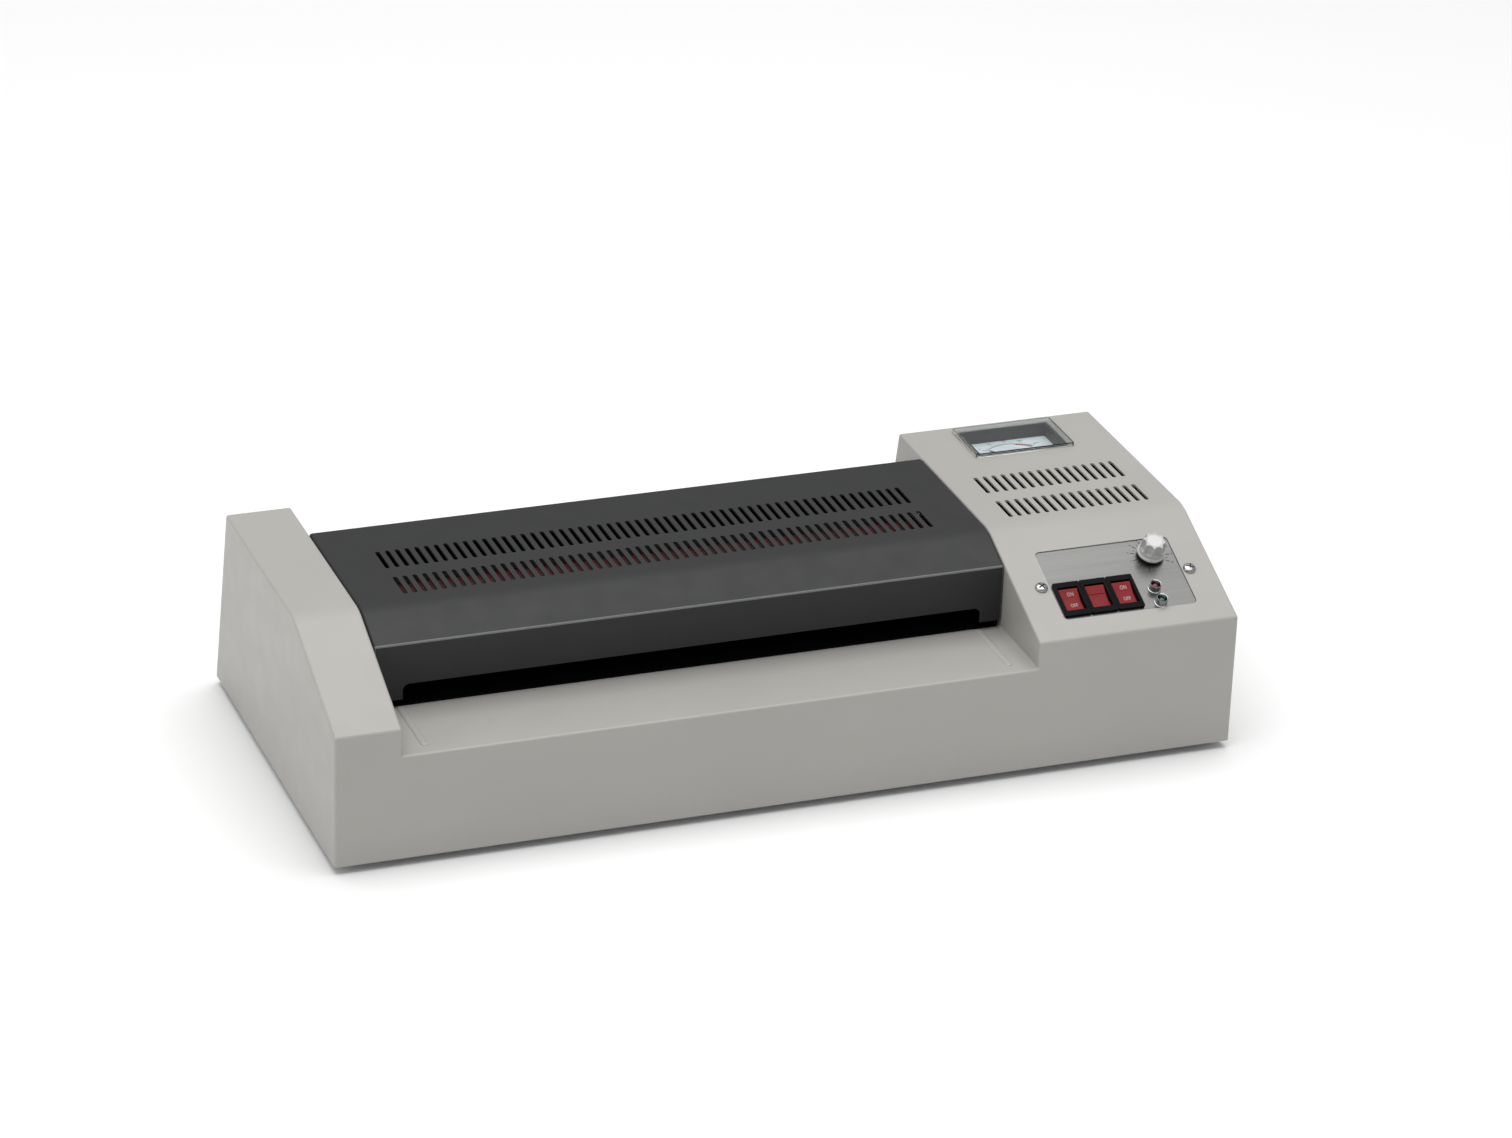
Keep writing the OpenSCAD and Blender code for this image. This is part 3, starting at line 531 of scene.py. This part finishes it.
ALONG_X = (0.015, 1, 1)
FINISH = {
    "housing_paint": powder_coat("housing_paint", (0.375, 0.364, 0.342), 0.42, 0.006, 0.5),
    # Painted shade: the housing's inner walls are made near black so that the vents and the bay look dark
    # inside.
    "housing_inside_painted_shade": powder_coat("housing_inside_painted_shade", (0.045, 0.045, 0.045), 0.6, 0.010, 0.2),
    "cover_paint": powder_coat("cover_paint", (0.021, 0.0215, 0.0225), 0.45, 0.005, 0.3),
    # Painted highlight: a much lighter, glossier paint laid only on the cover's rounded front edge.
    "cover_edge_painted_highlight": powder_coat("cover_edge_painted_highlight", (0.13, 0.135, 0.13), 0.25, 0.003, 0.6),
    "base_zinc": metal("base_zinc", (0.42, 0.42, 0.43), 0.42, scale=160),
    "foot_rubber": soft_rubber("foot_rubber", (0.012, 0.012, 0.012)),
    "zinc_screws": metal("zinc_screws", (0.50, 0.50, 0.52), 0.32, scale=900),
    "panel_aluminium": metal("panel_aluminium", (0.175, 0.175, 0.172), 0.34, ALONG_X, 1400, 0.004, 0.06),
    "chrome_trim": metal("chrome_trim", (0.42, 0.42, 0.43), 0.12, scale=500, grain=0.0005, spread=0.03),
    "black_plastic": plastic("black_plastic", (0.003, 0.003, 0.004), 0.36, 0.05),
    "meter_plastic": plastic("meter_plastic", (0.022, 0.023, 0.027), 0.45, 0.3),
    "red_plastic": plastic("red_plastic", (0.20, 0.006, 0.008), 0.36, 0.18),
    "red_lamp": lamp_plastic("red_lamp", (0.10, 0.002, 0.006)),
    "green_lamp": lamp_plastic("green_lamp", (0.004, 0.07, 0.045)),
    "knob_plastic": plastic("knob_plastic", (0.47, 0.47, 0.46), 0.30, 0.5),
    "component_metal": metal("component_metal", (0.42, 0.42, 0.44), 0.38, scale=300),
    "dial_card": plastic("dial_card", (0.80, 0.87, 0.90), 0.6, 0.3, 0.001),
    "clear_lens": clear_plastic("clear_lens"),
    "needle_black": plastic("needle_black", (0.01, 0.01, 0.01), 0.5),
    "shoe_aluminium": metal("shoe_aluminium", (0.55, 0.56, 0.57), 0.42, ALONG_X),
    "heater_sheath": metal("heater_sheath", (0.60, 0.60, 0.56), 0.45, ALONG_X),
    "thermostat_ceramic": plastic("thermostat_ceramic", (0.60, 0.57, 0.46), 0.6),
    "bronze": metal("bronze", (0.52, 0.34, 0.13), 0.45, scale=900, grain=0.006),
    "bearing_plastic": plastic("bearing_plastic", (0.72, 0.69, 0.60), 0.5),
    "ground_steel": metal("ground_steel", (0.50, 0.51, 0.53), 0.25),
    "roller_aluminium": metal("roller_aluminium", (0.58, 0.59, 0.61), 0.28),
    "red_silicone": soft_rubber("red_silicone", (0.13, 0.010, 0.014), 0.55),
    "black_silicone": soft_rubber("black_silicone", (0.012, 0.012, 0.012), 0.55),
    "gear_plastic": plastic("gear_plastic", (0.66, 0.64, 0.54), 0.45),
    "motor_paint": powder_coat("motor_paint", (0.06, 0.06, 0.07), 0.45, 0.008, 0.5),
    "circuit_board": plastic("circuit_board", (0.010, 0.075, 0.030), 0.35),
    "capacitor_can": metal("capacitor_can", (0.52, 0.52, 0.50), 0.40),
    "white_print": plastic("white_print", (0.46, 0.40, 0.40), 0.6, 0.2, 0.001),
    "cap_plastic": plastic("cap_plastic", (0.62, 0.62, 0.61), 0.4),
    "black_print": plastic("black_print", (0.015, 0.015, 0.017), 0.6, 0.2, 0.001),
    "red_print": plastic("red_print", (0.42, 0.05, 0.05), 0.6, 0.2, 0.001),
}


# Housing and cover

def vent_cutters(x0, count):
    slots = [rounded((x0 + i * VENT_PITCH - VENT_W / 2, x0 + i * VENT_PITCH + VENT_W / 2), (y, y + VENT_LEN),
                     VENT_W / 2 - 0.02, 5) for y in VENT_ROWS for i in range(count)]
    return prism("vents", slots, BODY_H - 3, BODY_H + 3, upwards)


def crease(steps=8):
    """The soft bend from the slope into the roof, as points from front to rear."""
    reach = BEND_R * math.tan(SLOPE / 2)
    turns = [SLOPE * (1 - i / steps) for i in range(steps + 1)]
    return [(SLOPE_RUN + reach - BEND_R * math.sin(a), BODY_H - BEND_R * (1 - math.cos(a))) for a in turns]


def side_outline(z0):
    """The end blocks seen from the left, clockwise, open downwards to z0."""
    rear = BODY_D - z0 * math.tan(LEAN)
    return [(0, z0), (0, FRONT_H)] + crease() + [(ROOF_REAR, BODY_H), (rear, z0)]


def valley(grow):
    """The room over the tray between the end blocks."""
    return block("valley", (LEFT_BLOCK - grow, RIGHT_X + grow), (-CLEAR, BODY_D + CLEAR),
                 (DECK_H - grow, BODY_H + CLEAR))


def make_housing():
    outer = cut(prism("housing", [side_outline(-8)], 0, BODY_W, along_x), valley(0))
    bevel(outer, EDGE, 4)
    apply_modifiers(outer)
    inner = prism("inner", [inset(side_outline(-CLEAR), SHEET)], SHEET, BODY_W - SHEET, along_x)
    cut(inner, valley(SHEET))
    outer.data.materials.append(FINISH["housing_paint"])
    # The inner walls carry the dark painted-shade material in place of the shade inside the housing.
    inner.data.materials.append(FINISH["housing_inside_painted_shade"])
    bay = block("bay", (LEFT_BLOCK - 2.4, RIGHT_X + 2.4), BAY_Y, BAY_Z)
    window = prism("window", [rounded((WINDOW_X, WINDOW_X + WINDOW_W), WINDOW_S, 3)], -5, 3, on_slope)
    screw_holes = prism("holes", [circle(x, SCREW_S, SCREW_HOLE_R) for x in SCREW_X], -5, 3, on_slope)
    meter_hole = block("meter_hole", (METER_X[0] + METER_RIM, METER_X[1] - METER_RIM),
                       (METER_Y[0] + METER_RIM, METER_Y[1] - METER_RIM), (BODY_H - 3, BODY_H + 3))
    sockets = [rounded((INLET_X - 13.8, INLET_X + 13.8), (22, 42), 1), circle(FUSE_X, 32, 6.1)]
    socket = prism("socket", sockets, -4, 3, on_rear)
    below = block("below", (-CLEAR, BODY_W + CLEAR), (-CLEAR, BODY_D + CLEAR), (-40, 0))
    cut(outer, inner, bay, vent_cutters(RIGHT_X + 19, 16), window, screw_holes, meter_hole, socket, below)
    return finish_piece(outer, "housing_paint", replaces=["main_housing"])


def cover_outline(z0):
    front_top = FRONT_H + COVER_FRONT * math.tan(SLOPE)
    rear = COVER_REAR + (BODY_H - z0) * math.tan(LEAN)
    return [(COVER_FRONT, z0), (COVER_FRONT, front_top)] + crease() + [(COVER_REAR, BODY_H), (rear, z0)]


def make_cover():
    ends = (LEFT_BLOCK + 0.3, RIGHT_X - 0.3)
    cover = prism("cover", [cover_outline(COVER_LEG_Z - 8)], *ends, along_x)
    bevel(cover, EDGE, 4, 20)
    apply_modifiers(cover)
    cover.data.materials.append(FINISH["cover_paint"])
    cover.data.materials.append(FINISH["cover_edge_painted_highlight"])
    for face in cover.data.polygons:
        # The rounded front edge, between the front's level normal and the slope's, gets the lighter material
        # as a painted highlight line
        if -0.95 < face.normal.y < -0.6:
            face.material_index = 1
    hollow = inset(cover_outline(COVER_LEG_Z - CLEAR), SHEET)
    inner = prism("inner", [hollow], ends[0] - 5, ends[1] + 5, along_x)
    slots = [prism("slot", [rounded(SLOT_X, (30, SLOT_TOP_Z), 4)], y, y + 16, lambda x, z, w: at(x, w, z))
             for y in (COVER_FRONT - 4, COVER_REAR - 4)]
    below = block("below", (0, BODY_W), (0, BODY_D), (0, COVER_LEG_Z))
    cut(cover, inner, *slots, vent_cutters(LEFT_BLOCK + 29.3, 56), below)
    return finish_piece(cover, "cover_paint", replaces=["centre_cover"])


def make_ribs():
    """Two low pressed ribs along the tray's sides, with round ends."""
    bm = bmesh.new()
    half, height, spans = 2.3, 0.85, 8
    turns = [math.radians(a) for a in range(0, 91, 15)]
    ends = [(RIB_Y[0] - half * math.cos(a), math.sin(a)) for a in turns]
    stations = ends + [(sum(RIB_Y) - y, k) for y, k in reversed(ends)]
    for x in (SLOT_X[0] - 1, SLOT_X[1]):
        rows = [[bm.verts.new(at(x + half * k * math.cos(math.pi * i / spans), y,
                                 DECK_H + height * k * math.sin(math.pi * i / spans) - 0.02))
                 for i in range(spans + 1)] for y, k in stations]
        for low, high in zip(rows, rows[1:]):
            for i in range(spans):
                bm.faces.new((low[i], low[i + 1], high[i + 1], high[i]))
    bmesh.ops.remove_doubles(bm, verts=bm.verts, dist=1e-6)
    finish_piece(from_bmesh("tray_ribs", bm), "housing_paint", smooth=80)


# Control panel

def panel_point(x, s):
    """A place function round one point of the panel."""
    return lambda u, v, w: on_slope(x + u, s + v, w)


def make_panel():
    """The brushed sheet behind the window, pressed out to fill it."""
    whole = rounded((WINDOW_X - 11.5, WINDOW_X + 92), (9, 70), 1)
    sheet = prism("panel_sheet", [whole], PANEL_BACK, -1.21, on_slope)
    seen = rounded((WINDOW_X + 0.25, WINDOW_X + 80.75), (14.35, 65.15), 2.8)
    field = prism("panel_field", [seen], -2.3, PANEL_OUT, on_slope)
    bevel(field, 0.15, 2, 30)
    apply_modifiers(field)
    for piece in (sheet, field):
        openings = [rounded((x - 6.9, x + 6.9), (SWITCH_S - 10.9, SWITCH_S + 10.9), 0.5) for x in SWITCH_X]
        openings += [circle(LAMP_X, s, 2.6) for s in LAMP_S] + [circle(*KNOB, 3.6)]
        openings += [circle(x, SCREW_S, SCREW_HOLE_R) for x in SCREW_X]
        cut(piece, prism("openings", openings, -5, 3, on_slope))
    finish_piece(sheet, "panel_aluminium", replaces=["control_panel"])
    finish_piece(field, "panel_aluminium")


def make_screw(name, place, radius, height, turn):
    """A domed head with a cross recess."""
    turns = [math.radians(a) for a in range(0, 90, 9)]
    dome = [(radius * math.cos(a), height * (0.25 + 0.75 * math.sin(a))) for a in turns]
    head = lathe(name, [(0, -0.2), (radius, -0.2)] + dome + [(0, height)], place)
    arm, half = radius * 0.62, radius * 0.13
    slots = [bar(0, 0, turn + a, -arm, arm, 2 * half) for a in (0, 90)]
    cut(head, *(prism("slot", [slot], height * 0.15, height * 2, place) for slot in slots))
    bevel(head, 0.12, 2, 30)
    return head


def make_panel_screws():
    turns = (28, 62)
    heads = [make_screw("head", panel_point(x, SCREW_S), 3.65, 2.3, turn) for x, turn in zip(SCREW_X, turns)]
    for head in heads:
        apply_modifiers(head)
    nuts = [prism("nut", [circle(x, SCREW_S, 4, 6)], -4.8, PANEL_BACK, on_slope) for x in SCREW_X]
    shanks = [prism("shank", [circle(x, SCREW_S, 2, 20)], -9, 0.1, on_slope) for x in SCREW_X]
    finish_piece(joined("panel_screw_heads", heads + nuts + shanks), "chrome_trim", replaces=["panel_screws"])


def make_rocker(index, side):
    """A concave paddle with its crease over the pivot, resting with the upper end out."""
    def place(u, v, w):
        turned = v * math.cos(ROCKER_TILT) - w * math.sin(ROCKER_TILT)
        out = v * math.sin(ROCKER_TILT) + w * math.cos(ROCKER_TILT)
        return on_slope(SWITCH_X[index] + u, SWITCH_S + turned, PIVOT_OUT + out)

    def across(v, w, u):
        return place(u, v, w)

    section = [(0, 2), (2.5, 2.2), (5.2, 2.62), (ROCKER_HALF, 3), (ROCKER_HALF, 1), (6, -2.4), (0, -4.6),
               (-6, -2.4), (-ROCKER_HALF, 1), (-ROCKER_HALF, 3), (-5.2, 2.62), (-2.5, 2.2)]
    paddle = prism("rocker", [section], -5.75, 5.75, across)
    bevel(paddle, 0.35, 3, 25)
    body = side + "_switch"
    finish_piece(paddle, "red_plastic", body, replaces=[side + "_rocker"]).name = side + "_paddle"
    if side == "middle":
        hump = [(2.2, 2.1), (2.35, 2.5), (2.75, 2.55), (2.9, 2.2)]
        ridge = prism("middle_ridge", [hump], -5.3, 5.3, across)
        finish_piece(ridge, "red_plastic", body)
        return
    for text, v in (("ON", 4.2), ("OFF", -3.3)):
        def printed(a, b, c, v=v):
            return place(0.6 + 0.74 * a, v + b, 2.03 + abs(v + b) * 0.122 + c)
        finish_piece(lettering(side + "_" + text.lower(), text, 3.5, printed), "white_print", body)


# A lamp's chrome bezel, from its bore over the lip to its flange, as (radius, height)
RIM = [(2.1, -8.4), (2.1, 2.2), (2.6, 3.7), (2.85, 4.15), (3.05, 4.2), (3.25, 4), (3.3, 0.3), (3.45, 0.15),
       (3.8, 0.1), (3.9, -0.1), (3.9, -1.2), (2.6, -1.3), (2.6, -8.4)]
RIM_NUT = [(2.6, -4.4), (4.3, -4.4), (4.3, PANEL_BACK), (2.6, PANEL_BACK)]
LENS_R = 2.05


def make_lamps():
    rims, lenses = [], []
    for s in LAMP_S:
        place = panel_point(LAMP_X, s)
        rims.append(lathe("rim", RIM, place, closed=True))
        rims.append(lathe("nut", RIM_NUT, place, closed=True, steps=6))
        turns = [math.radians(a) for a in range(0, 90, 10)]
        dome = [(LENS_R * math.cos(a), 1.3 + 1.9 * math.sin(a)) for a in turns]
        lenses.append(lathe("lens", [(0, -7), (LENS_R, -7)] + dome + [(0, 3.2)], place))
    finish_piece(joined("lamp_rims", rims), "chrome_trim", replaces=["indicator_bezels"])
    for lens, colour in zip(lenses, ("red", "green")):
        lens.name = colour + "_dome"
        finish_piece(lens, colour + "_lamp", replaces=[colour + "_lens"])


def make_knob():
    place = panel_point(*KNOB)
    profile = [(0, 3.2), (5.9, 3.2), (5.9, 1.5), (7.7, 1.5), (8, 1.8), (8, 2.7), (7.75, 3), (7.2, 3.5),
               (6.75, 10.9), (6.5, 11.6), (5.9, 12), (4.6, 12), (4.4, 11.8), (0, 11.8)]
    knob = lathe("knob", profile, place, steps=96)
    flutes = prism("flutes", [circle(*polar(7.9, 45 * i), 2.7, 28) for i in range(8)], 5.4, 15, place)
    bore = prism("bore", [circle(0, 0, 3, 32)], 0, 9, place)
    cut(knob, flutes, bore)
    bevel(knob, 0.3, 3, 28)
    finish_piece(knob, "knob_plastic", "knob", replaces=["temperature_knob"])
    cap = lathe("knob_cap", [(0, 11.7), (4.45, 11.7), (4.45, 11.9), (4.2, 12.05), (0, 12.15)], place)
    finish_piece(cap, "cap_plastic", "knob")
    pointer = prism("knob_pointer", [bar(0, 0, SCALE_START, 6.9, 8.05, 0.7)], 2.2, 3.4, place)
    finish_piece(bevel(pointer, 0.15, 2, 30), "knob_plastic", "knob")


def make_scale():
    """The printed ring of ticks and numbers round the knob."""
    turns = [SCALE_START - SCALE_STEP * i for i in range(11)]
    ticks = [bar(*KNOB, turn, 9.0, 11.6, 0.5) for turn in turns]
    ticks += [bar(*KNOB, turn - SCALE_STEP / 2, 9.0, 10.2, 0.3) for turn in turns[:-1]]
    printed = prism("knob_ticks", ticks, PANEL_OUT - PRINT, PANEL_OUT + 0.03, on_slope)
    finish_piece(printed, "black_print")
    for i, turn in enumerate(turns):
        centre = panel_point(*polar(12.9, turn, *KNOB))
        number = lettering("knob_number_" + str(i), str(i), 1.9,
                           lambda u, v, w: centre(u, v, PANEL_OUT + PRINT + w))
        finish_piece(number, "black_print")


# Meter

def dial_print(name, outlines, finish):
    finish_piece(prism(name, outlines, DIAL_Z - 0.01, DIAL_Z + 0.04, upwards), finish)


def dial_lettering(name, text, size, x, y):
    sign = lettering(name, text, size, lambda u, v, w: at(x + u, y + v, DIAL_Z + PRINT + w))
    finish_piece(sign, "black_print")


def make_meter():
    """The clear lens and what is printed on the dial."""
    lens = prism("meter_cover", [rounded(METER_X, METER_Y, 1.2)], BODY_H, BODY_H + 2.6, upwards)
    hollow = block("hollow", (METER_X[0] + LENS_WALL, METER_X[1] - LENS_WALL),
                   (METER_Y[0] + LENS_WALL, METER_Y[1] - LENS_WALL), (BODY_H - 1, BODY_H + 1.6))
    bevel(cut(lens, hollow), 0.35, 3, 30)
    finish_piece(lens, "clear_lens", replaces=["meter_lens"])
    marks = [arc(*PIVOT, 20.4, 20.75, DIAL_START, DIAL_START - 90)]
    marks += [bar(*PIVOT, DIAL_START - 4.5 * i, 20.5, 23.6 if i % 5 == 0 else 22.3, 0.3) for i in range(21)]
    dial_print("dial_marks", marks, "black_print")
    dial_print("dial_red_zone", [arc(*PIVOT, 18.9, 20.2, DIAL_START - 60, DIAL_START - 90)], "red_print")
    for i in range(5):
        x, y = polar(25.2, DIAL_START - 22.5 * i, *PIVOT)
        dial_lettering("dial_number_" + str(i), str(50 * i), 2.3, x, y)
    dial_lettering("dial_unit", "\u00b0C", 3.4, PIVOT[0], PIVOT[1] + 11)


# Springs

def make_springs(name, y, node):
    """Two coil springs over the ends of one pair, built at one fixed length."""
    low, high, turns, wire = 89.5, 102, 6, 0.6
    steps = 20 * turns
    paths = []
    for x in (29, RIGHT_X + 7.5):
        lift = [low + wire + (high - low - 2 * wire) * i / steps for i in range(steps + 1)]
        paths.append([at(*polar(4.4, 18 * i, x, y), z) for i, z in enumerate(lift)])
    coils = finish_piece(tube(name, paths, wire), "zinc_screws", smooth=80, replaces=[node])
    apply_modifiers(coils)
    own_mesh(coils)


# Carried-over nodes

# Widths of the bevels on the nodes that are shown as they are
ROUNDED = {"switch_housings": 0.3, "power_inlet": 0.5, "fuse_holder": 0.5, "rubber_feet": 0.6,
           "meter_case": 0.3, "entry_guide": 0.3, "exit_guide": 0.3}


def dress_nodes():
    slots = {part["node"]: part["material_slot"] for part in frame["record"]["subparts"]}
    slots["meter_case"] = "meter_plastic"
    for name, node in frame["nodes"].items():
        if node.hide_render:
            continue
        for place in node.material_slots:
            place.material = FINISH[slots[name]]
        if name in ROUNDED:
            bevel(node, ROUNDED[name], 3, 40)


add_camera()
add_studio()
make_housing()
make_cover()
make_ribs()
make_panel()
make_panel_screws()
for number, side in enumerate(("left", "middle", "right")):
    make_rocker(number, side)
make_lamps()
make_knob()
make_scale()
make_meter()
make_springs("front_coils", 129, "front_springs")
make_springs("rear_coils", 164, "rear_springs")
dress_nodes()
